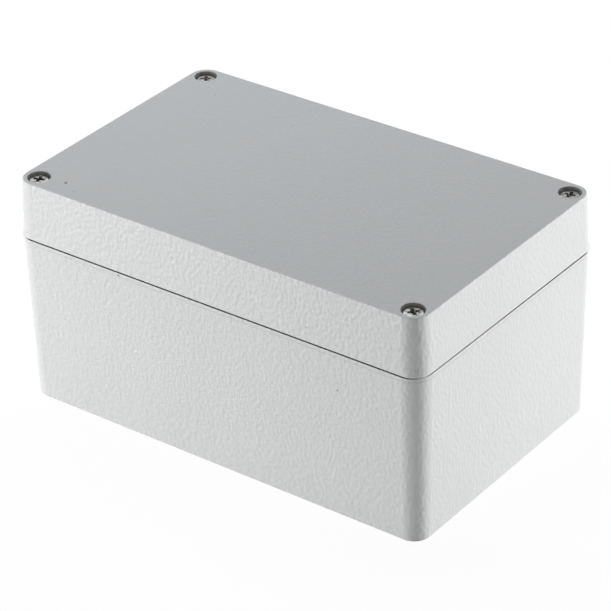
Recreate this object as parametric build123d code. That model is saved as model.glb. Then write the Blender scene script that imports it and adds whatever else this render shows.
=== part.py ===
from build123d import *
from math import radians, tan
import os

# A sealed die cast aluminium box: a deep base, a shallow lid, a rubber gasket between them and four
# captive lid screws in the corners. Millimetres and degrees. The origin is the middle of the underside,
# X runs along the length, Y across the width and Z up. The front is the long side at -Y.

# Outline of the two castings, at the parting line
LENGTH = 160.0
WIDTH = 100.0
CORNER_RADIUS = 7.0
BASE_HEIGHT = 60.5
LID_HEIGHT = 20.5
PARTING_GAP = 0.4
BASE_DRAFT = 1.05
LID_DRAFT = 2.6
TOP_EDGE_RADIUS = 0.4
BASE_RIM_RADIUS = 0.3
LID_RIM_RADIUS = 0.2
FLOOR_EDGE_RADIUS = 0.3

# Rims: a low band round the base's rim, and sharper corners at the lid's foot, which stand out over it
RIM_BAND = 0.12
RIM_BAND_HEIGHT = 1.3
LID_FOOT_RADIUS = 6.0
LID_FOOT_HEIGHT = 3.0

# Walls and the inside of the castings
WALL = 3.2
FLOOR = 3.5
LID_TOP = 3.2
INNER_DRAFT = 1.05
INNER_EDGE_RADIUS = 1.2
CAVITY_RADIUS = 3.5
COLUMN_RADIUS = 4.0
COLUMN_WALL = 3.0

# Seal: a tongue on the base's rim presses a gasket in a groove of the lid
TONGUE_SETBACK = 0.3
TONGUE_WIDTH = 1.2
TONGUE_CLEARANCE = 0.3
LID_RIB = 1.4
GROOVE_DEPTH = 4.0
GASKET_THICKNESS = 1.8
GASKET_CLEARANCE = 0.05

# Lid screws
SCREW_INSET = 6.5
HEAD_DIAMETER = 6.8
HEAD_HEIGHT = 2.6
HEAD_EDGE_RADIUS = 0.6
HEAD_CLEARANCE = 0.4
HEAD_BELOW_TOP = 1.5
SEAT_THICKNESS = 4.5
THREAD_DIAMETER = 4.0
THREAD_LENGTH = 10.0
THREAD_CLEARANCE = 0.05
TIP_CHAMFER = 0.6
WAIST_DIAMETER = 3.2
SHANK_CLEARANCE = 0.25
TAPPED_DEPTH = 14.0
TAP_LEAD = 0.5
PAD_WIDTH = 1.4
POCKET_EDGE_RADIUS = 0.3

# Cross recess of every screw
RECESS_LENGTH = 3.8
RECESS_WIDTH = 1.1
RECESS_DEPTH = 1.5
RECESS_DRAFT = 12.0
RECESS_ANGLES = {"front_left": 20.0, "front_right": 52.0, "rear_right": 8.0, "rear_left": 35.0}

# Rings that keep the lid screws in the lid
RING_DIAMETER = 6.8
RING_HEIGHT = 1.6
RING_EDGE = 0.3
RING_CLEARANCE = 0.4
RING_BORE_CLEARANCE = 0.05
RING_ABOVE_PARTING = 0.5

# Wall fixing holes, outside the seal
FIXING_INSET_X = 7.5
FIXING_INSET_Y = 16.0
FIXING_HOLE_DIAMETER = 4.8
FIXING_CHANNEL_DIAMETER = 7.6
FIXING_SEAT = 6.0
LID_POCKET_DEPTH = 12.0

# Tapped bosses on the floor for a mounting plate
BOSS_INSET_X = 26.0
BOSS_INSET_Y = 15.0
BOSS_DIAMETER = 8.0
BOSS_HEIGHT = 5.0
BOSS_DRAFT = 2.0
BOSS_TAP_DIAMETER = 3.3
BOSS_TAP_DEPTH = 6.5

# Earth terminals, one in the base and one in the lid
EARTH_INSET = 22.0
EARTH_BOSS_DIAMETER = 12.0
EARTH_BOSS_FOOT = 14.0
EARTH_BOSS_HEIGHT = 5.0
EARTH_THREAD_DIAMETER = 4.0
EARTH_SCREW_LENGTH = 8.0
EARTH_HEAD_DIAMETER = 8.0
EARTH_HEAD_HEIGHT = 2.6
EARTH_HEAD_EDGE_RADIUS = 1.3
EARTH_RECESS_ANGLE = 45.0
EARTH_TAP_SPARE = 0.5
LOCK_WASHER_DIAMETER = 8.0
LOCK_WASHER_THICKNESS = 0.6
LOCK_WASHER_TEETH = 10
LOCK_TOOTH_DEPTH = 1.2
LOCK_TOOTH_GAP = 1.1
CLAMP_SIZE = 9.0
CLAMP_THICKNESS = 1.2
CLAMP_CORNER_RADIUS = 1.2
CLAMP_LIP = 0.9
CLAMP_LIP_HEIGHT = 1.0
WASHER_CLEARANCE = 0.15

# Heights that follow from the sizes above
TOP = BASE_HEIGHT + LID_HEIGHT
BASE_RIM = BASE_HEIGHT - PARTING_GAP / 2
LID_RIM = BASE_HEIGHT + PARTING_GAP / 2
GROOVE_TOP = LID_RIM + GROOVE_DEPTH
TONGUE_TOP = GROOVE_TOP - GASKET_THICKNESS
LID_CEILING = TOP - LID_TOP
SCREW_SEAT = TOP - HEAD_BELOW_TOP - HEAD_HEIGHT
THREAD_TOP = BASE_HEIGHT + RING_ABOVE_PARTING
SCREW_TIP = THREAD_TOP - THREAD_LENGTH
CHAMBER_TOP = SCREW_SEAT - SEAT_THICKNESS
CLAMP_TOP = CLAMP_LIP_HEIGHT + CLAMP_THICKNESS
EARTH_SEAT = CLAMP_TOP + LOCK_WASHER_THICKNESS

# Widths that follow from the sizes above
CHAMBER_DIAMETER = RING_DIAMETER + 2 * RING_CLEARANCE
POCKET_DIAMETER = HEAD_DIAMETER + 2 * HEAD_CLEARANCE
PAD_DIAMETER = CHAMBER_DIAMETER + 2 * PAD_WIDTH
COLUMN_X = LENGTH / 2 - FIXING_INSET_X - FIXING_CHANNEL_DIAMETER / 2 - COLUMN_WALL
COLUMN_Y = WIDTH / 2 - FIXING_INSET_Y - FIXING_CHANNEL_DIAMETER / 2 - COLUMN_WALL
TONGUE_OUTSIDE = TONGUE_SETBACK + TONGUE_WIDTH
GROOVE_INSIDE = TONGUE_SETBACK - TONGUE_CLEARANCE
GROOVE_OUTSIDE = TONGUE_OUTSIDE + TONGUE_CLEARANCE
EARTH_X = EARTH_INSET - LENGTH / 2

CORNERS = {
    "front_left": (-1, -1),
    "front_right": (1, -1),
    "rear_right": (1, 1),
    "rear_left": (-1, 1),
}
STANDING = (Align.CENTER, Align.CENTER, Align.MIN)


def in_corner(corner, inset_x, inset_y):
    """The point that lies this far in from both sides of one corner of the outline."""
    side_x, side_y = CORNERS[corner]
    return side_x * (LENGTH / 2 - inset_x), side_y * (WIDTH / 2 - inset_y)


def upright(place, diameter, low, high):
    """A round bar or bore between two heights."""
    return Pos(place[0], place[1], low) * Cylinder(diameter / 2, high - low, align=STANDING)


def outline(inset, radius):
    """The plan of the castings' outside, drawn in by an even inset."""
    return RectangleRounded(LENGTH - 2 * inset, WIDTH - 2 * inset, radius)


def drafted(plan, depth, draft, height, upward):
    """A prism that starts at a height and leans in on all sides as it goes."""
    prism = extrude(plan, amount=depth, taper=draft)
    if not upward:
        prism = mirror(prism, about=Plane.XY)
    return Pos(0, 0, height) * prism


def seal_plan(grow):
    """The plan of the inside, grown outwards: a rectangle that steps in round the corner columns."""
    across = Rectangle(2 * (COLUMN_X + grow), WIDTH - 2 * (WALL - grow))
    along = Rectangle(LENGTH - 2 * (WALL - grow), 2 * (COLUMN_Y + grow))
    plan = across + along
    plan = fillet(plan.vertices().sort_by_distance((0, 0, 0))[:4], COLUMN_RADIUS - grow)
    return fillet(plan.vertices().sort_by_distance((0, 0, 0))[-8:], CAVITY_RADIUS + grow)


def seal_ring(inside, outside, low, high):
    """A band of even width along the seal, between two heights."""
    band = seal_plan(outside) - seal_plan(inside)
    return Pos(0, 0, low) * extrude(band, amount=high - low)


def tapped_hole(place, diameter, depth, top):
    """A blind hole for a thread, with a short lead-in at its mouth."""
    x, y = place
    lead = Cone(diameter / 2, diameter / 2 + TAP_LEAD, TAP_LEAD, align=STANDING)
    return upright(place, diameter, top - depth, top) + Pos(x, y, top - TAP_LEAD) * lead


def earth_boss():
    """A cast boss on the plane at height zero, wider at its foot."""
    return Cone(EARTH_BOSS_FOOT / 2, EARTH_BOSS_DIAMETER / 2, EARTH_BOSS_HEIGHT, align=STANDING)


def earth_hole():
    """The tapped hole down from the top of an earth boss."""
    depth = EARTH_SCREW_LENGTH - EARTH_SEAT + EARTH_TAP_SPARE
    diameter = EARTH_THREAD_DIAMETER + 2 * THREAD_CLEARANCE
    return tapped_hole((0, 0), diameter, depth, EARTH_BOSS_HEIGHT)


def base():
    """The deep casting: drafted walls, corner columns, tongue, bosses and all its holes."""
    band_foot = BASE_RIM - RIM_BAND_HEIGHT
    band = Pos(0, 0, band_foot) * extrude(outline(0, CORNER_RADIUS), amount=RIM_BAND_HEIGHT)
    wall_plan = outline(RIM_BAND, CORNER_RADIUS - RIM_BAND)
    wall = drafted(wall_plan, band_foot, BASE_DRAFT, band_foot, upward=False)
    body = fillet(wall.edges().group_by(Axis.Z)[0], FLOOR_EDGE_RADIUS)
    body += fillet(band.edges().group_by(Axis.Z)[-1], BASE_RIM_RADIUS)

    cavity = drafted(seal_plan(0), BASE_RIM - FLOOR, INNER_DRAFT, BASE_RIM, upward=False)
    body -= fillet(cavity.edges().group_by(Axis.Z)[0], INNER_EDGE_RADIUS)
    body += seal_ring(TONGUE_SETBACK, TONGUE_OUTSIDE, BASE_RIM, TONGUE_TOP)

    earth = Pos(EARTH_X, 0, FLOOR)
    body += earth * earth_boss()
    body -= earth * earth_hole()

    for corner in CORNERS:
        screw = in_corner(corner, SCREW_INSET, SCREW_INSET)
        body += upright(screw, PAD_DIAMETER, BASE_RIM, BASE_HEIGHT)
        body -= tapped_hole(screw, THREAD_DIAMETER + 2 * THREAD_CLEARANCE, TAPPED_DEPTH, BASE_HEIGHT)

        fixing = in_corner(corner, FIXING_INSET_X, FIXING_INSET_Y)
        body -= upright(fixing, FIXING_HOLE_DIAMETER, 0, BASE_RIM)
        body -= upright(fixing, FIXING_CHANNEL_DIAMETER, FIXING_SEAT, BASE_RIM)

        boss = in_corner(corner, BOSS_INSET_X, BOSS_INSET_Y)
        post = drafted(Circle(BOSS_DIAMETER / 2), BOSS_HEIGHT, BOSS_DRAFT, FLOOR, upward=True)
        body += Pos(boss[0], boss[1]) * post
        body -= tapped_hole(boss, BOSS_TAP_DIAMETER, BOSS_TAP_DEPTH, FLOOR + BOSS_HEIGHT)
    return body


def lid():
    """The shallow casting: drafted walls, gasket groove, sunk screw pockets and an earth boss."""
    foot_top = LID_RIM + LID_FOOT_HEIGHT
    foot_lean = LID_FOOT_HEIGHT * tan(radians(LID_DRAFT))
    wall_plan = outline(foot_lean, CORNER_RADIUS - foot_lean)
    wall = drafted(wall_plan, TOP - foot_top, LID_DRAFT, foot_top, upward=True)
    rim_plan = outline(0, LID_FOOT_RADIUS)
    foot = loft([Pos(0, 0, LID_RIM) * rim_plan, Pos(0, 0, foot_top) * wall_plan], ruled=True)
    body = fillet(wall.edges().group_by(Axis.Z)[-1], TOP_EDGE_RADIUS)
    body += fillet(foot.edges().group_by(Axis.Z)[0], LID_RIM_RADIUS)

    inside = seal_plan(GROOVE_INSIDE - LID_RIB)
    cavity = drafted(inside, LID_CEILING - LID_RIM, INNER_DRAFT, LID_RIM, upward=True)
    body -= fillet(cavity.edges().group_by(Axis.Z)[-1], INNER_EDGE_RADIUS)
    body -= seal_ring(GROOVE_INSIDE, GROOVE_OUTSIDE, LID_RIM, GROOVE_TOP)

    earth = Pos(EARTH_X, 0, LID_CEILING) * Rot(180, 0, 0)
    body += earth * earth_boss()
    body -= earth * earth_hole()

    for corner in CORNERS:
        screw = in_corner(corner, SCREW_INSET, SCREW_INSET)
        body += upright(screw, PAD_DIAMETER, BASE_HEIGHT, LID_RIM)
        body -= upright(screw, CHAMBER_DIAMETER, BASE_HEIGHT, CHAMBER_TOP)
        body -= upright(screw, THREAD_DIAMETER + 2 * SHANK_CLEARANCE, CHAMBER_TOP, SCREW_SEAT)
        body -= upright(screw, POCKET_DIAMETER, SCREW_SEAT, TOP)

        fixing = in_corner(corner, FIXING_INSET_X, FIXING_INSET_Y)
        body -= upright(fixing, FIXING_CHANNEL_DIAMETER, LID_RIM, LID_RIM + LID_POCKET_DEPTH)
    pocket_mouths = body.edges().filter_by(lambda edge: edge.is_closed).group_by(Axis.Z)[-1]
    return fillet(pocket_mouths, POCKET_EDGE_RADIUS)


def gasket():
    """The rubber ring at the bottom of the lid's groove."""
    inside = GROOVE_INSIDE + GASKET_CLEARANCE
    outside = GROOVE_OUTSIDE - GASKET_CLEARANCE
    return seal_ring(inside, outside, TONGUE_TOP, GROOVE_TOP)


def cross_recess(angle):
    """A cross that narrows downwards from height zero, for a screwdriver."""
    cross = Rectangle(RECESS_LENGTH, RECESS_WIDTH) + Rectangle(RECESS_WIDTH, RECESS_LENGTH)
    return Rot(0, 0, angle) * drafted(cross, RECESS_DEPTH, RECESS_DRAFT, 0, upward=False)


def lid_screw(corner):
    """A turned screw with a sunk round head, a waist under it and its thread at the tip."""
    head_top = SCREW_SEAT + HEAD_HEIGHT
    profile = Polyline(
        (0, SCREW_TIP),
        (THREAD_DIAMETER / 2 - TIP_CHAMFER, SCREW_TIP),
        (THREAD_DIAMETER / 2, SCREW_TIP + TIP_CHAMFER),
        (THREAD_DIAMETER / 2, THREAD_TOP),
        (WAIST_DIAMETER / 2, THREAD_TOP),
        (WAIST_DIAMETER / 2, SCREW_SEAT),
        (HEAD_DIAMETER / 2, SCREW_SEAT),
        (HEAD_DIAMETER / 2, head_top),
        (0, head_top),
        close=True,
    )
    screw = revolve(Plane.XZ * make_face(profile), Axis.Z)
    screw = fillet(screw.edges().group_by(Axis.Z)[-1], HEAD_EDGE_RADIUS)
    screw -= Pos(0, 0, head_top) * cross_recess(RECESS_ANGLES[corner])
    return Pos(*in_corner(corner, SCREW_INSET, SCREW_INSET)) * screw


def retaining_ring(corner):
    """The plastic ring on a screw's waist, on top of the thread."""
    ring = upright((0, 0), RING_DIAMETER, THREAD_TOP, THREAD_TOP + RING_HEIGHT)
    ring = chamfer(ring.edges(), RING_EDGE)
    ring -= upright((0, 0), WAIST_DIAMETER + 2 * RING_BORE_CLEARANCE, THREAD_TOP, THREAD_TOP + RING_HEIGHT)
    return Pos(*in_corner(corner, SCREW_INSET, SCREW_INSET)) * ring


def clamp():
    """A square plate that stands on its boss on two turned-down lips, with room for a wire between them."""
    lip_top = CLAMP_LIP_HEIGHT
    plan = RectangleRounded(CLAMP_SIZE, CLAMP_SIZE, CLAMP_CORNER_RADIUS)
    plate = Pos(0, 0, lip_top) * extrude(plan, amount=CLAMP_THICKNESS)
    plate -= upright((0, 0), EARTH_THREAD_DIAMETER + 2 * WASHER_CLEARANCE, lip_top, CLAMP_TOP)
    lip = Pos(CLAMP_SIZE / 2 - CLAMP_LIP / 2) * Rectangle(CLAMP_LIP, CLAMP_SIZE - 2 * CLAMP_CORNER_RADIUS)
    for turn in (0, 180):
        plate += Rot(0, 0, turn) * extrude(lip, amount=lip_top)
    return plate


def lock_washer():
    """A thin washer with teeth round its edge, on top of the clamp."""
    washer = upright((0, 0), LOCK_WASHER_DIAMETER, CLAMP_TOP, EARTH_SEAT)
    washer -= upright((0, 0), EARTH_THREAD_DIAMETER + 2 * WASHER_CLEARANCE, CLAMP_TOP, EARTH_SEAT)
    gap = Box(2 * LOCK_TOOTH_DEPTH, LOCK_TOOTH_GAP, LOCK_WASHER_THICKNESS, align=STANDING)
    edge = PolarLocations(LOCK_WASHER_DIAMETER / 2, LOCK_WASHER_TEETH)
    return washer - edge * (Pos(0, 0, CLAMP_TOP) * gap)


def earth_screw():
    """A pan head screw through the lock washer and the clamp into the boss."""
    head_top = EARTH_SEAT + EARTH_HEAD_HEIGHT
    screw = upright((0, 0), EARTH_THREAD_DIAMETER, EARTH_SEAT - EARTH_SCREW_LENGTH, EARTH_SEAT)
    head = upright((0, 0), EARTH_HEAD_DIAMETER, EARTH_SEAT, head_top)
    screw += fillet(head.edges().group_by(Axis.Z)[-1], EARTH_HEAD_EDGE_RADIUS)
    return screw - Pos(0, 0, head_top) * cross_recess(EARTH_RECESS_ANGLE)


pieces = {"base": base(), "lid": lid(), "gasket": gasket()}
for corner in CORNERS:
    pieces[f"lid_screw_{corner}"] = lid_screw(corner)
    pieces[f"retaining_ring_{corner}"] = retaining_ring(corner)

earth_places = {
    "base": Pos(EARTH_X, 0, FLOOR + EARTH_BOSS_HEIGHT),
    "lid": Pos(EARTH_X, 0, LID_CEILING - EARTH_BOSS_HEIGHT) * Rot(180, 0, 0),
}
for half, place in earth_places.items():
    pieces[f"{half}_earth_lock_washer"] = place * lock_washer()
    pieces[f"{half}_earth_clamp"] = place * clamp()
    pieces[f"{half}_earth_screw"] = place * earth_screw()

os.makedirs("parts", exist_ok=True)
for name, piece in pieces.items():
    export_step(piece, f"parts/{name}.step")
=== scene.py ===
from math import ceil, cos, pi, radians, sin, tan

import bpy
from mathutils import Matrix, Vector


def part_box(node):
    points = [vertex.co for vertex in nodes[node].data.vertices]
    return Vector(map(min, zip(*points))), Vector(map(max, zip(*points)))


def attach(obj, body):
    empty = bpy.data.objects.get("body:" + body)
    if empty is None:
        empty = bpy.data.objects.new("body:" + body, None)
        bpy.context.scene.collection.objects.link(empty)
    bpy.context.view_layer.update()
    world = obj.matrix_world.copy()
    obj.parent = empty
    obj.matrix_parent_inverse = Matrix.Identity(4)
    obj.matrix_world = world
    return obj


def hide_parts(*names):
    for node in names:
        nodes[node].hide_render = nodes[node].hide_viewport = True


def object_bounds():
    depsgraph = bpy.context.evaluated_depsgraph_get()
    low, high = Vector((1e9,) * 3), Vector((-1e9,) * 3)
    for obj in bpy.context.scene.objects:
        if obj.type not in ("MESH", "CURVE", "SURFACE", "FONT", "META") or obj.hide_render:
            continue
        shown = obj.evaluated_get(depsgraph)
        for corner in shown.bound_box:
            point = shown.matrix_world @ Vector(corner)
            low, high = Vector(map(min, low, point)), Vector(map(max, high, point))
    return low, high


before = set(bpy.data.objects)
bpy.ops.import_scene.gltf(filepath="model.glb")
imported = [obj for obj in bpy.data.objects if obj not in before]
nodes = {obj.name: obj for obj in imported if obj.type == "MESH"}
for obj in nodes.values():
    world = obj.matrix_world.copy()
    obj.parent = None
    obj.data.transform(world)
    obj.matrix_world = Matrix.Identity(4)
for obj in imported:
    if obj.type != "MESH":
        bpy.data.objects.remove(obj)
cad_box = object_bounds()


# Base: the deep half of the box, one die casting in aluminium alloy.
# It is sprayed all over with light grey textured powder and baked, which leaves fine soft ripples.
# A few specks of dirt are baked in. Shade is painted darkly into the joint, and faintly under the low band
# round the base's rim.
MM = 0.001
COAT_GREY = (0.665, 0.667, 0.667, 1.0)
COAT_GREY_DARK = (0.635, 0.638, 0.640, 1.0)
COAT_ROUGHNESS = (0.42, 0.56)
RIPPLES_PER_METRE = 830.0
# Scale of the ripples along each axis, less where they are drawn out, as they are up the walls
RIPPLE_STRETCH = (1.0, 1.0, 0.8)
RIPPLE_HEIGHT = 0.165 * MM
GRAIN_PER_METRE = 2600.0
GRAIN_HEIGHT = 0.010 * MM
CLOUDS_PER_METRE = 22.0
SPECK_BROWN = (0.07, 0.06, 0.05, 1.0)
# Shares of a speck's radius: it is at its darkest within the first, and gone past the second
SPECK_CORE = 0.4
SPECK_EDGE = 1.3
CORNER_RADIUS = 7.0 * MM
# Painted shade: a dark colour laid in the joint between lid and base, and faintly under the base's rim band
PAINTED_SHADE_DARK = (0.07, 0.068, 0.064, 1.0)
JOINT_SHADE_REACH = 0.30 * MM
SHADE_DEPTH = 1.2 * MM
# Share of its reach and its depth within which the painted shade is darkest
SHADE_CORE = 0.7
# Depth below the joint, reach and strength of the faint painted shade line under the base's rim band
BAND_DROP = 1.55 * MM
BAND_SHADE_REACH = 0.4 * MM
BAND_SHADE_SHARE = 0.12
joint_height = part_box("lid")[0].z


def set_sockets(tree, made, sockets):
    """Gives a shader node values, or links where a value is another node's output."""
    for socket, value in sockets.items():
        if isinstance(value, bpy.types.NodeSocket):
            tree.links.new(value, made.inputs[socket])
        else:
            made.inputs[socket].default_value = value


def add_node(tree, kind, sockets=None, **settings):
    """Adds a shader node with its settings, values and links."""
    made = tree.nodes.new(kind)
    for setting, value in settings.items():
        setattr(made, setting, value)
    set_sockets(tree, made, sockets or {})
    return made


def calculate(tree, operation, first, second):
    """The result of one sum on two numbers or outputs."""
    return add_node(tree, "ShaderNodeMath", {0: first, 1: second}, operation=operation).outputs["Value"]


def blend_colours(tree, share, first, second):
    """A colour between two, by a share from 0 to 1."""
    sockets = {"Factor": share, "A": first, "B": second}
    return add_node(tree, "ShaderNodeMix", sockets, data_type="RGBA").outputs["Result"]


def soft_step(tree, value, start, end):
    """A smooth rise from 0 at start to 1 at end."""
    sockets = {"Value": value, "From Min": start, "From Max": end}
    made = add_node(tree, "ShaderNodeMapRange", sockets, interpolation_type="SMOOTHSTEP")
    return made.outputs["Result"]


def between(tree, value, low, high):
    """A value from 0 to 1, spread evenly over another range."""
    sockets = {"Value": value, "To Min": low, "To Max": high}
    return add_node(tree, "ShaderNodeMapRange", sockets).outputs["Result"]


def noise(tree, place, scale, detail=2.0):
    """Soft random hills about a middle of one half."""
    sockets = {"Vector": place, "Scale": scale, "Detail": detail}
    return add_node(tree, "ShaderNodeTexNoise", sockets).outputs["Fac"]


def raised(tree, height, distance, below=None):
    """The surface's direction after a height pattern, on top of another pattern where one is given."""
    sockets = {"Height": height, "Distance": distance}
    if below is not None:
        sockets["Normal"] = below
    return add_node(tree, "ShaderNodeBump", sockets).outputs["Normal"]


def new_material(name):
    """An empty material with its shader, and the place on the piece that its patterns follow."""
    material = bpy.data.materials.new(name)
    material.use_nodes = True
    tree = material.node_tree
    tree.nodes.clear()
    surface = add_node(tree, "ShaderNodeBsdfPrincipled")
    add_node(tree, "ShaderNodeOutputMaterial", {"Surface": surface.outputs["BSDF"]})
    place = add_node(tree, "ShaderNodeTexCoord").outputs["Object"]
    return material, tree, surface, place


def painted_shade_line(tree, place, height, reach):
    """A line of painted shade: one on the outer walls and lips close to a height, fading to nought past its
    core.
    """
    corner_middle = (cad_box[1].x - CORNER_RADIUS, cad_box[1].y - CORNER_RADIUS, 0.0)
    folded = add_node(tree, "ShaderNodeVectorMath", {0: place}, operation="ABSOLUTE").outputs["Vector"]
    past = add_node(tree, "ShaderNodeVectorMath", {0: folded, 1: corner_middle}, operation="SUBTRACT")
    flat = {0: past.outputs["Vector"], 1: (1.0, 1.0, 0.0)}
    flat_past = add_node(tree, "ShaderNodeVectorMath", flat, operation="MULTIPLY").outputs["Vector"]
    outer = {0: flat_past, 1: (0.0, 0.0, 0.0)}
    outward = add_node(tree, "ShaderNodeVectorMath", outer, operation="MAXIMUM").outputs["Vector"]
    radius = add_node(tree, "ShaderNodeVectorMath", {0: outward}, operation="LENGTH").outputs["Value"]
    at_skin = soft_step(tree, radius, CORNER_RADIUS - SHADE_DEPTH, CORNER_RADIUS - SHADE_CORE * SHADE_DEPTH)

    level = add_node(tree, "ShaderNodeSeparateXYZ", {"Vector": place}).outputs["Z"]
    above = calculate(tree, "SUBTRACT", level, height)
    away = add_node(tree, "ShaderNodeMath", {0: above}, operation="ABSOLUTE").outputs["Value"]
    at_height = soft_step(tree, away, reach, SHADE_CORE * reach)
    return calculate(tree, "MULTIPLY", at_skin, at_height)


def joint_shade_share(tree, place):
    """One where the joint's painted shade is kept, and less towards the front of the right end, where light
    reaches into the joint.
    """
    sides = add_node(tree, "ShaderNodeSeparateXYZ", {"Vector": place}).outputs
    on_end = soft_step(tree, sides["X"], cad_box[1].x - CORNER_RADIUS / 2, cad_box[1].x - CORNER_RADIUS / 4)
    towards_front = soft_step(tree, sides["Y"], cad_box[1].y, cad_box[0].y)
    return calculate(tree, "SUBTRACT", 1.0, calculate(tree, "MULTIPLY", on_end, towards_front))


def powder_coat(name, specks):
    """Textured grey powder coat with the few dark specks that one casting has."""
    material, tree, surface, place = new_material(name)
    drawn_out = add_node(tree, "ShaderNodeMapping", {"Vector": place, "Scale": RIPPLE_STRETCH})
    ripples = noise(tree, drawn_out.outputs["Vector"], RIPPLES_PER_METRE, detail=0.0)
    grain = noise(tree, place, GRAIN_PER_METRE, detail=1.0)
    clouds = noise(tree, place, CLOUDS_PER_METRE, detail=3.0)

    colour = blend_colours(tree, clouds, COAT_GREY_DARK, COAT_GREY)
    for speck_place, radius, strength in specks:
        middle = [value * MM for value in speck_place]
        away = add_node(tree, "ShaderNodeVectorMath", {0: place, 1: middle}, operation="DISTANCE")
        share = soft_step(tree, away.outputs["Value"], SPECK_EDGE * radius * MM, SPECK_CORE * radius * MM)
        colour = blend_colours(tree, calculate(tree, "MULTIPLY", share, strength), colour, SPECK_BROWN)

    # Shade painted into the joint between lid and base, less at the front of the right end
    joint_shade = painted_shade_line(tree, place, joint_height, JOINT_SHADE_REACH)
    joint_shade = calculate(tree, "MULTIPLY", joint_shade, joint_shade_share(tree, place))
    colour = blend_colours(tree, joint_shade, colour, PAINTED_SHADE_DARK)
    # A faint line of painted shade under the band round the base's rim
    band_shade = painted_shade_line(tree, place, joint_height - BAND_DROP, BAND_SHADE_REACH)
    band_shade = calculate(tree, "MULTIPLY", band_shade, BAND_SHADE_SHARE)
    colour = blend_colours(tree, band_shade, colour, PAINTED_SHADE_DARK)

    rippled = raised(tree, ripples, RIPPLE_HEIGHT)
    set_sockets(tree, surface, {
        "Base Color": colour,
        "Roughness": between(tree, ripples, *COAT_ROUGHNESS),
        "Normal": raised(tree, grain, GRAIN_HEIGHT, rippled),
    })
    return material


# Each speck: its place and its radius in millimetres, and how dark it is
base_specks = [
    ((-36.4, -49.9, 59.5), 0.45, 0.8),
    ((49.3, -49.7, 46.9), 0.40, 0.8),
    ((-25.7, -49.8, 55.2), 0.40, 0.25),
    ((-7.3, -49.5, 40.2), 0.25, 0.25),
]
nodes["base"].data.materials[0] = powder_coat("grey_powder_coat_base", base_specks)


# Earth terminal of the base: a turned brass screw clamps a wire under a square brass plate on a cast boss.
# The thread is rolled on. A toothed washer of zinc plated spring steel under the head keeps it tight.
SCREW_SIDES = 64
THREAD_RADIUS = 2.0 * MM
THREAD_ROOT = 1.6 * MM
THREAD_PITCH = 0.7 * MM
THREAD_STEPS = 32
# Turns wound past each end of the thread and then cut off
SPARE_TURNS = 1
RIDGE_CORNERS = 4
RIDGE_SUNK = 0.1 * MM
RIDGE_FOOT = 0.66 * MM
RIDGE_CREST = 0.1 * MM
RUN_OUT = 0.9 * MM
RUN_OUT_RADIUS = 2.4 * MM
TIP_CHAMFER = 0.4 * MM
CROWN = 0.12 * MM
# The crown rises in these shares of its height, each inside an inset that is a share of the flat's radius
CROWN_STEPS = (0.6, 0.4)
CROWN_INSET = 0.3
RIM_SEGMENTS = 6
RECESS_LENGTH = 3.8 * MM
RECESS_WIDTH = 1.1 * MM
RECESS_DEPTH = 2.1 * MM
RECESS_DRAFT = radians(9.0)
RECESS_CONE_TOP = 1.1 * MM
RECESS_CONE_TIP = 0.3 * MM
RECESS_CONE_DEPTH = 2.3 * MM
CUTTER_SPARE = 1.0 * MM
EARTH_HEAD_RADIUS = 4.0 * MM
EARTH_HEAD_HEIGHT = 2.6 * MM
EARTH_HEAD_RIM = 1.3 * MM
EARTH_RECESS_ANGLE = radians(45.0)
SMOOTH_ANGLE = radians(35.0)
# The upright part of a level face's normal is over the first, or over the second where nothing tilts it
LEVEL_FACE = 0.9
DEAD_LEVEL_FACE = 0.999

BRASS = (0.78, 0.57, 0.26, 1.0)
BRASS_TARNISHED = (0.52, 0.35, 0.15, 1.0)
ZINC = (0.62, 0.64, 0.67, 1.0)
ZINC_DULL = (0.44, 0.45, 0.47, 1.0)
STAINS_PER_METRE = 700.0
TURNED_RINGS_PER_METRE = 9000.0
TURNED_RING_HEIGHT = 0.004 * MM
# Bright metal turns dull as the stains' pattern goes from the first of two strengths to the second
TURNED_STAINS = (0.40, 0.62)
TURNED_ROUGHNESS = (0.12, 0.34)
SCRATCHES_PER_METRE = (400.0, 9000.0, 4000.0)
SCRATCH_HEIGHT = 0.004 * MM
ROLLED_STAINS = (0.40, 0.70)
ROLLED_ROUGHNESS = (0.25, 0.50)


def pick_faces(piece, wanted):
    """Goes into edit mode with only those faces selected whose normal is wanted."""
    bpy.ops.object.mode_set(mode="EDIT")
    bpy.ops.mesh.select_mode(type="FACE")
    bpy.ops.mesh.select_all(action="DESELECT")
    bpy.ops.object.mode_set(mode="OBJECT")
    for face in piece.data.polygons:
        face.select = wanted(face.normal)
    bpy.ops.object.mode_set(mode="EDIT")


def pick_points(piece, wanted):
    """Goes into edit mode with only those points selected that are wanted."""
    bpy.ops.object.mode_set(mode="EDIT")
    bpy.ops.mesh.select_mode(type="VERT")
    bpy.ops.mesh.select_all(action="DESELECT")
    bpy.ops.object.mode_set(mode="OBJECT")
    for point in piece.data.vertices:
        point.select = wanted(point.co)
    bpy.ops.object.mode_set(mode="EDIT")


def add_bar(radius, low, high):
    """A round bar on the upright axis between two heights, with its place in its mesh."""
    bpy.ops.object.select_all(action="DESELECT")
    bpy.ops.mesh.primitive_cylinder_add(vertices=SCREW_SIDES, radius=radius, depth=high - low,
                                        location=(0.0, 0.0, (low + high) / 2))
    bpy.ops.object.transform_apply(location=True)
    return bpy.context.object


def combine(piece, tool, operation):
    """Adds another solid to a piece, cuts it out or keeps what both fill. The other solid is used up."""
    change = piece.modifiers.new(operation.lower(), "BOOLEAN")
    change.operation = operation
    change.solver = "EXACT"
    change.object = tool
    bpy.context.view_layer.objects.active = piece
    bpy.ops.object.modifier_apply(modifier=change.name)
    bpy.data.objects.remove(tool)


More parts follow.
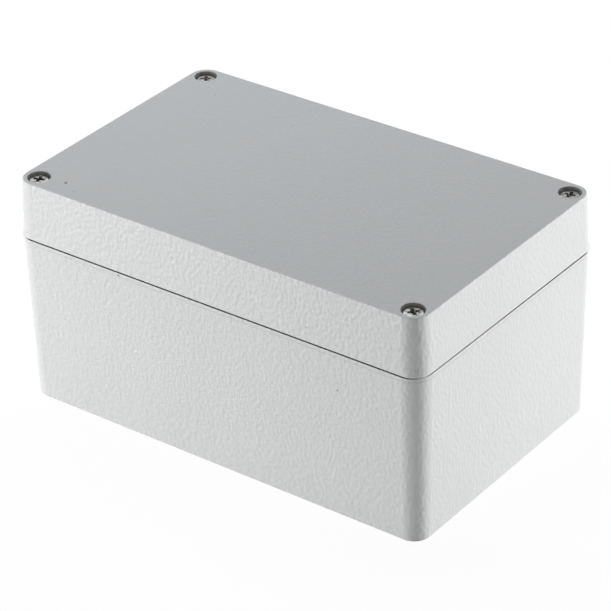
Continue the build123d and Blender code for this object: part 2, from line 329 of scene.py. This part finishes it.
def thread_ridge(low, high):
    """A pointed ridge wound right-handed up the axis between two heights, running out at both ends."""
    foot = THREAD_ROOT - RIDGE_SUNK
    depth = THREAD_RADIUS - foot
    start = low - SPARE_TURNS * THREAD_PITCH
    bpy.ops.object.select_all(action="DESELECT")
    bpy.ops.mesh.primitive_plane_add(size=1.0, location=(foot + depth / 2, 0.0, start),
                                     rotation=(pi / 2, 0.0, 0.0))
    ridge = bpy.context.object
    ridge.scale = (depth, RIDGE_FOOT, 1.0)
    bpy.ops.object.transform_apply(location=True, rotation=True, scale=True)
    pick_points(ridge, lambda point: point.x > foot + depth / 2)
    bpy.ops.transform.resize(value=(1.0, 1.0, RIDGE_CREST / RIDGE_FOOT),
                             center_override=(THREAD_RADIUS, 0.0, start))
    bpy.ops.mesh.select_all(action="SELECT")
    bpy.ops.mesh.delete(type="ONLY_FACE")
    bpy.ops.object.mode_set(mode="OBJECT")

    wind = ridge.modifiers.new("wind", "SCREW")
    wind.axis = "Z"
    wind.angle = 2 * pi
    wind.screw_offset = THREAD_PITCH
    wind.iterations = ceil((high - low) / THREAD_PITCH) + 2 * SPARE_TURNS
    wind.steps = THREAD_STEPS
    wind.render_steps = THREAD_STEPS
    bpy.ops.object.modifier_apply(modifier=wind.name)
    bpy.ops.object.mode_set(mode="EDIT")
    bpy.ops.mesh.select_mode(type="EDGE")
    bpy.ops.mesh.select_all(action="DESELECT")
    bpy.ops.mesh.select_non_manifold()
    bpy.ops.mesh.fill_holes(sides=RIDGE_CORNERS)
    bpy.ops.mesh.select_all(action="SELECT")
    bpy.ops.mesh.normals_make_consistent(inside=False)
    bpy.ops.object.mode_set(mode="OBJECT")

    room = add_bar(RUN_OUT_RADIUS, low, high)
    pick_faces(room, lambda normal: abs(normal.z) > LEVEL_FACE)
    bpy.ops.mesh.bevel(offset=RUN_OUT, segments=1, affect="EDGES")
    bpy.ops.object.mode_set(mode="OBJECT")
    combine(ridge, room, "INTERSECT")
    return ridge


def recess_cutters(top):
    """The driver's shape from a height down: two crossed bars that narrow, and a cone between them."""
    lean = 2 * RECESS_DEPTH * tan(RECESS_DRAFT)
    cutters = []
    for along, across in ((RECESS_LENGTH, RECESS_WIDTH), (RECESS_WIDTH, RECESS_LENGTH)):
        bpy.ops.object.select_all(action="DESELECT")
        bpy.ops.mesh.primitive_cube_add(size=1.0, location=(0.0, 0.0, top - RECESS_DEPTH / 2))
        bar = bpy.context.object
        bar.scale = (along, across, RECESS_DEPTH)
        bpy.ops.object.transform_apply(location=True, scale=True)
        pick_faces(bar, lambda normal: normal.z < -LEVEL_FACE)
        bpy.ops.transform.resize(value=((along - lean) / along, (across - lean) / across, 1.0),
                                 center_override=(0.0, 0.0, top - RECESS_DEPTH))
        pick_faces(bar, lambda normal: normal.z > LEVEL_FACE)
        bpy.ops.mesh.extrude_region_move(TRANSFORM_OT_translate={"value": (0.0, 0.0, CUTTER_SPARE)})
        bpy.ops.object.mode_set(mode="OBJECT")
        cutters.append(bar)
    bpy.ops.object.select_all(action="DESELECT")
    bpy.ops.mesh.primitive_cone_add(vertices=SCREW_SIDES // 2, depth=RECESS_CONE_DEPTH,
                                    radius1=RECESS_CONE_TIP, radius2=RECESS_CONE_TOP,
                                    location=(0.0, 0.0, top - RECESS_CONE_DEPTH / 2))
    cone = bpy.context.object
    bpy.ops.object.transform_apply(location=True)
    pick_faces(cone, lambda normal: normal.z > LEVEL_FACE)
    bpy.ops.mesh.extrude_region_move(TRANSFORM_OT_translate={"value": (0.0, 0.0, CUTTER_SPARE)})
    bpy.ops.object.mode_set(mode="OBJECT")
    cutters.append(cone)
    return cutters


def machine_screw(name, head_radius, head_height, rim, thread_high, tip):
    """A screw with its seat at height zero: a crowned head with a cross recess, a shank and a thread."""
    rim_height = head_height - CROWN
    screw = add_bar(head_radius, 0.0, rim_height)
    screw.name = name
    pick_faces(screw, lambda normal: normal.z > LEVEL_FACE)
    bpy.ops.mesh.bevel(offset=rim, segments=RIM_SEGMENTS, affect="EDGES")
    pick_faces(screw, lambda normal: normal.z > DEAD_LEVEL_FACE)
    flat_radius = head_radius - rim
    for share in CROWN_STEPS:
        bpy.ops.mesh.inset(thickness=flat_radius * CROWN_INSET)
        bpy.ops.transform.translate(value=(0.0, 0.0, CROWN * share))
    pick_faces(screw, lambda normal: normal.z < -LEVEL_FACE)
    bpy.ops.mesh.inset(thickness=head_radius - THREAD_ROOT)
    bpy.ops.mesh.extrude_region_move(TRANSFORM_OT_translate={"value": (0.0, 0.0, tip)})
    bpy.ops.mesh.bevel(offset=TIP_CHAMFER, segments=1, affect="EDGES")
    bpy.ops.object.mode_set(mode="OBJECT")

    combine(screw, thread_ridge(tip, thread_high), "UNION")
    for cutter in recess_cutters(head_height):
        combine(screw, cutter, "DIFFERENCE")
    bpy.ops.object.select_all(action="DESELECT")
    screw.select_set(True)
    bpy.ops.object.shade_smooth_by_angle(angle=SMOOTH_ANGLE)
    return screw


def placed_copy(piece, name, place, turn, upside_down=False):
    """A copy with its own mesh, turned about its axis and put in place within that mesh."""
    made = piece.copy()
    made.data = piece.data.copy()
    made.name = name
    bpy.context.scene.collection.objects.link(made)
    bpy.ops.object.select_all(action="DESELECT")
    made.select_set(True)
    bpy.context.view_layer.objects.active = made
    made.rotation_euler = (pi if upside_down else 0.0, 0.0, turn)
    made.location = place
    bpy.ops.object.transform_apply(location=True, rotation=True, scale=False)
    return made


def turned_metal(name, bright, dull, axis_x, axis_y):
    """Bare metal with fine rings left by turning about upright axes, and faint stains."""
    material, tree, surface, place = new_material(name)
    folded = add_node(tree, "ShaderNodeVectorMath", {0: place}, operation="ABSOLUTE").outputs["Vector"]
    centring = {"Vector": folded, "Location": (-axis_x, -axis_y, 0.0), "Scale": (1.0, 1.0, 0.0)}
    off_axis = add_node(tree, "ShaderNodeMapping", centring).outputs["Vector"]
    radius = add_node(tree, "ShaderNodeVectorMath", {0: off_axis}, operation="LENGTH").outputs["Value"]
    sockets = {"W": radius, "Scale": TURNED_RINGS_PER_METRE, "Detail": 1.0}
    rings = add_node(tree, "ShaderNodeTexNoise", sockets, noise_dimensions="1D").outputs["Fac"]
    stains = noise(tree, place, STAINS_PER_METRE, detail=3.0)
    set_sockets(tree, surface, {
        "Metallic": 1.0,
        "Base Color": blend_colours(tree, soft_step(tree, stains, *TURNED_STAINS), bright, dull),
        "Roughness": between(tree, stains, *TURNED_ROUGHNESS),
        "Normal": raised(tree, rings, TURNED_RING_HEIGHT),
    })
    return material


def rolled_metal(name, bright, dull):
    """Plated or plain sheet metal with fine scratches one way and dull patches."""
    material, tree, surface, place = new_material(name)
    stretched = add_node(tree, "ShaderNodeMapping", {"Vector": place, "Scale": SCRATCHES_PER_METRE})
    scratches = noise(tree, stretched.outputs["Vector"], 1.0, detail=2.0)
    stains = noise(tree, place, STAINS_PER_METRE, detail=3.0)
    set_sockets(tree, surface, {
        "Metallic": 1.0,
        "Base Color": blend_colours(tree, soft_step(tree, stains, *ROLLED_STAINS), bright, dull),
        "Roughness": between(tree, scratches, *ROLLED_ROUGHNESS),
        "Normal": raised(tree, scratches, SCRATCH_HEIGHT),
    })
    return material


earth_low, earth_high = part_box("base_earth_screw")
earth_x = (earth_low.x + earth_high.x) / 2
earth_length = earth_high.z - earth_low.z - EARTH_HEAD_HEIGHT
earth_screw = machine_screw("earth_screw", EARTH_HEAD_RADIUS, EARTH_HEAD_HEIGHT, EARTH_HEAD_RIM,
                            0.0, -earth_length)
earth_brass = turned_metal("turned_brass", BRASS, BRASS_TARNISHED, -earth_x, 0.0)
earth_screw.data.materials.append(earth_brass)
clamp_brass = rolled_metal("stamped_brass", BRASS, BRASS_TARNISHED)
washer_zinc = rolled_metal("zinc_plated_steel", ZINC, ZINC_DULL)

base_seat = (earth_x, 0.0, earth_high.z - EARTH_HEAD_HEIGHT)
base_earth_screw = placed_copy(earth_screw, "earth_screw_base", base_seat, EARTH_RECESS_ANGLE)
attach(base_earth_screw, "base")
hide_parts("base_earth_screw")
nodes["base_earth_clamp"].data.materials[0] = clamp_brass
nodes["base_earth_lock_washer"].data.materials[0] = washer_zinc


# Lid: the shallow half, cast and coated like the base, with a groove for the gasket under its rim
# and a sunk pocket for a screw head in each corner of its top.
lid_top = cad_box[1].z / MM
lid_specks = [
    ((-63.6, -41.8, lid_top), 0.60, 0.95),
    ((-57.7, -44.8, lid_top), 0.45, 0.35),
    ((-62.3, 34.2, lid_top), 0.45, 0.35),
    ((-27.0, 31.5, lid_top), 0.35, 0.25),
    ((38.2, -49.8, 65.6), 0.35, 0.6),
]
nodes["lid"].data.materials[0] = powder_coat("grey_powder_coat_lid", lid_specks)


# Gasket: one moulded ring of black rubber, pressed into the groove under the lid's rim.
# Its skin is dull, with the fine grain of the mould.
RUBBER_BLACK = (0.028, 0.028, 0.030, 1.0)
RUBBER_DUSTY = (0.050, 0.049, 0.047, 1.0)
RUBBER_GLOSS = 0.3
RUBBER_ROUGHNESS = (0.60, 0.85)
RUBBER_GRAIN_PER_METRE = 5000.0
RUBBER_GRAIN_HEIGHT = 0.02 * MM
RUBBER_DUST_PER_METRE = 120.0


def moulded_rubber(name):
    """Dull black rubber with a fine grain and a trace of dust."""
    material, tree, surface, place = new_material(name)
    grain = noise(tree, place, RUBBER_GRAIN_PER_METRE)
    dust = noise(tree, place, RUBBER_DUST_PER_METRE, detail=4.0)
    set_sockets(tree, surface, {
        "Specular IOR Level": RUBBER_GLOSS,
        "Base Color": blend_colours(tree, dust, RUBBER_BLACK, RUBBER_DUSTY),
        "Roughness": between(tree, grain, *RUBBER_ROUGHNESS),
        "Normal": raised(tree, grain, RUBBER_GRAIN_HEIGHT),
    })
    return material


nodes["gasket"].data.materials[0] = moulded_rubber("black_rubber")


# Earth terminal of the lid: the same turned brass screw, stamped plate and toothed washer as in the base.
# They hang upside down on a cast boss under the lid's top, and clamp a wire that earths the lid.
lid_earth_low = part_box("lid_earth_screw")[0]
lid_seat = (earth_x, 0.0, lid_earth_low.z + EARTH_HEAD_HEIGHT)
lid_earth_screw = placed_copy(earth_screw, "earth_screw_lid", lid_seat, EARTH_RECESS_ANGLE,
                              upside_down=True)
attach(lid_earth_screw, "lid")
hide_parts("lid_earth_screw")
nodes["lid_earth_clamp"].data.materials[0] = clamp_brass
nodes["lid_earth_lock_washer"].data.materials[0] = washer_zinc
bpy.data.objects.remove(earth_screw)


# Lid screws: four turned stainless steel screws with a cross recess, sunk in the corners of the lid.
# A waist above the thread carries a nylon ring, which keeps the screw in the lid when it is undone.
HEAD_RADIUS = 3.4 * MM
HEAD_HEIGHT = 3.3 * MM
HEAD_RIM = 0.6 * MM
HEAD_BELOW_TOP = 0.8 * MM
THREAD_LENGTH = 10.0 * MM
RECESS_ANGLES = {"front_left": 20.0, "front_right": 52.0, "rear_right": 8.0, "rear_left": 35.0}
STEEL = (0.42, 0.41, 0.39, 1.0)
STEEL_DULL = (0.15, 0.145, 0.135, 1.0)
NYLON = (0.80, 0.79, 0.74, 1.0)
NYLON_YELLOWED = (0.72, 0.69, 0.60, 1.0)
NYLON_ROUGHNESS = (0.38, 0.52)
NYLON_GRAIN_PER_METRE = 3000.0
NYLON_GRAIN_HEIGHT = 0.01 * MM


def moulded_nylon(name):
    """Milky plastic with a faint grain, a little yellowed in places."""
    material, tree, surface, place = new_material(name)
    grain = noise(tree, place, NYLON_GRAIN_PER_METRE)
    ageing = noise(tree, place, STAINS_PER_METRE, detail=3.0)
    set_sockets(tree, surface, {
        "Base Color": blend_colours(tree, ageing, NYLON, NYLON_YELLOWED),
        "Roughness": between(tree, grain, *NYLON_ROUGHNESS),
        "Normal": raised(tree, grain, NYLON_GRAIN_HEIGHT),
    })
    return material


screw_low, screw_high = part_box("lid_screw_front_right")
screw_x = (screw_low.x + screw_high.x) / 2
screw_y = -(screw_low.y + screw_high.y) / 2
seat_height = cad_box[1].z - HEAD_BELOW_TOP - HEAD_HEIGHT
tip_depth = screw_low.z - seat_height
lid_screw = machine_screw("lid_screw", HEAD_RADIUS, HEAD_HEIGHT, HEAD_RIM,
                          tip_depth + THREAD_LENGTH, tip_depth)
lid_screw.data.materials.append(turned_metal("turned_stainless_steel", STEEL, STEEL_DULL, screw_x, screw_y))
ring_nylon = moulded_nylon("milky_nylon")
for corner, angle in RECESS_ANGLES.items():
    low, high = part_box(f"lid_screw_{corner}")
    seat = ((low.x + high.x) / 2, (low.y + high.y) / 2, seat_height)
    screw = placed_copy(lid_screw, f"captive_screw_{corner}", seat, radians(angle))
    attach(screw, f"lid_screw_{corner}")
    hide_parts(f"lid_screw_{corner}")
    nodes[f"retaining_ring_{corner}"].data.materials[0] = ring_nylon
bpy.data.objects.remove(lid_screw)


# Floor: a wide pale sheet that the box stands on, and no part of the box.
# The camera and mirrors see it as white with a faint shadow, and it throws soft grey light back at the box.
FLOOR_SIZE = 8.0
FLOOR_GREY = (0.8, 0.8, 0.8, 1.0)
SHADOW_GREY = (0.10, 0.10, 0.10, 1.0)
FLOOR_GLOW = 0.94
bpy.ops.object.select_all(action="DESELECT")
bpy.ops.mesh.primitive_plane_add(size=FLOOR_SIZE)
floor = bpy.context.object
floor.name = "floor"


def seen_directly(tree):
    """One for rays from the camera and for what mirrors or glass show, and nought for soft light."""
    light_path = add_node(tree, "ShaderNodeLightPath")
    camera_ray, glossy_ray = light_path.outputs["Is Camera Ray"], light_path.outputs["Is Glossy Ray"]
    share = calculate(tree, "MAXIMUM", camera_ray, glossy_ray)
    return calculate(tree, "MAXIMUM", share, light_path.outputs["Is Transmission Ray"])


floor_white = bpy.data.materials.new("floor_white")
floor_white.use_nodes = True
floor_white.cycles.emission_sampling = "NONE"
tree = floor_white.node_tree
tree.nodes.clear()
plain = add_node(tree, "ShaderNodeBsdfDiffuse", {"Color": FLOOR_GREY})
shaded = add_node(tree, "ShaderNodeBsdfDiffuse", {"Color": SHADOW_GREY})
glow = add_node(tree, "ShaderNodeEmission", {"Strength": FLOOR_GLOW})
white = add_node(tree, "ShaderNodeAddShader", {0: shaded.outputs["BSDF"], 1: glow.outputs["Emission"]})
shown = add_node(tree, "ShaderNodeMixShader",
                 {0: seen_directly(tree), 1: plain.outputs["BSDF"], 2: white.outputs["Shader"]})
add_node(tree, "ShaderNodeOutputMaterial", {"Surface": shown.outputs["Shader"]})
floor.data.materials.append(floor_white)


# Studio: two wide soft lamps overhead, one low strip lamp at the front left and two at the right.
# The white all round shows to the camera and in gloss, and adds no soft light.
DAYLIGHT = (0.97, 1.0, 1.03)
WHITE = (1.0, 1.0, 1.0)
OVERHEAD_SIDE = 0.6
OVERHEAD_TARGET = (0.0, 0.0, 0.08)


def soft_lamp(name, place, target, width, height, power, colour):
    """A rectangular lamp at a place, turned towards a target."""
    light = bpy.data.lights.new(name, "AREA")
    light.shape = "RECTANGLE"
    light.size = width
    light.size_y = height
    light.energy = power
    light.color = colour
    lamp = bpy.data.objects.new(name, light)
    lamp.location = place
    lamp.rotation_euler = (Vector(target) - Vector(place)).to_track_quat("-Z", "Y").to_euler()
    lamp.visible_camera = False
    bpy.context.scene.collection.objects.link(lamp)


# Each overhead lamp: its place and its power in watts
overhead_lamps = {
    "overhead_left_lamp": ((-0.30, 0.10, 0.65), 2.5),
    "overhead_rear_lamp": ((0.10, 0.45, 0.60), 1.16),
}
for name, (place, power) in overhead_lamps.items():
    soft_lamp(name, place, OVERHEAD_TARGET, OVERHEAD_SIDE, OVERHEAD_SIDE, power, DAYLIGHT)

# Each strip lamp: its place, the spot that it faces, its width and height, and its power in watts
strip_lamps = {
    "front_strip_lamp": ((-0.55, -0.72, 0.030), (0.0, -0.05, 0.030), 0.30, 0.05, 7.0),
    "rear_strip_lamp": ((0.80, 0.70, 0.045), (0.08, 0.0, 0.045), 0.35, 0.07, 4.8),
    "right_strip_lamp": ((0.80, 0.25, 0.045), (0.08, 0.0, 0.045), 0.30, 0.07, 3.2),
}
for name, (place, target, width, height, power) in strip_lamps.items():
    soft_lamp(name, place, target, width, height, power, WHITE)

world = bpy.data.worlds.new("white_studio")
bpy.context.scene.world = world
world.use_nodes = True
tree = world.node_tree
tree.nodes.clear()
backdrop = add_node(tree, "ShaderNodeBackground",
                    {"Color": (*WHITE, 1.0), "Strength": seen_directly(tree)})
add_node(tree, "ShaderNodeOutputWorld", {"Surface": backdrop.outputs["Background"]})


# Camera: a long lens that looks down on the front right corner, rolled a little.
# Its angles, distance, shifts and focal length were fitted to the box's straight edges in the picture.
PICTURE_SIDE = 611
FOCAL_PIXELS = 2969.3
SENSOR = 36.0
AZIMUTH = radians(37.385)
ELEVATION = radians(30.978)
ROLL = radians(-1.603)
DISTANCE = 0.9704
SIDE_SHIFT = -0.0000105
UP_SHIFT = -0.004029
middle = Vector((0.0, 0.0, cad_box[1].z / 2))
back = Vector((sin(AZIMUTH) * cos(ELEVATION), -cos(AZIMUTH) * cos(ELEVATION), sin(ELEVATION)))
level = Vector((cos(AZIMUTH), sin(AZIMUTH), 0.0))
upward = back.cross(level)
right = cos(ROLL) * level + sin(ROLL) * upward
top = cos(ROLL) * upward - sin(ROLL) * level
eye = middle + back * DISTANCE + level * SIDE_SHIFT + upward * UP_SHIFT
camera_data = bpy.data.cameras.new("camera")
camera_data.sensor_width = SENSOR
camera_data.lens = FOCAL_PIXELS / PICTURE_SIDE * SENSOR
camera = bpy.data.objects.new("camera", camera_data)
camera.matrix_world = Matrix((
    (right.x, top.x, back.x, eye.x),
    (right.y, top.y, back.y, eye.y),
    (right.z, top.z, back.z, eye.z),
    (0.0, 0.0, 0.0, 1.0),
))
bpy.context.scene.collection.objects.link(camera)
bpy.context.scene.camera = camera
bpy.context.scene.view_settings.view_transform = "Standard"
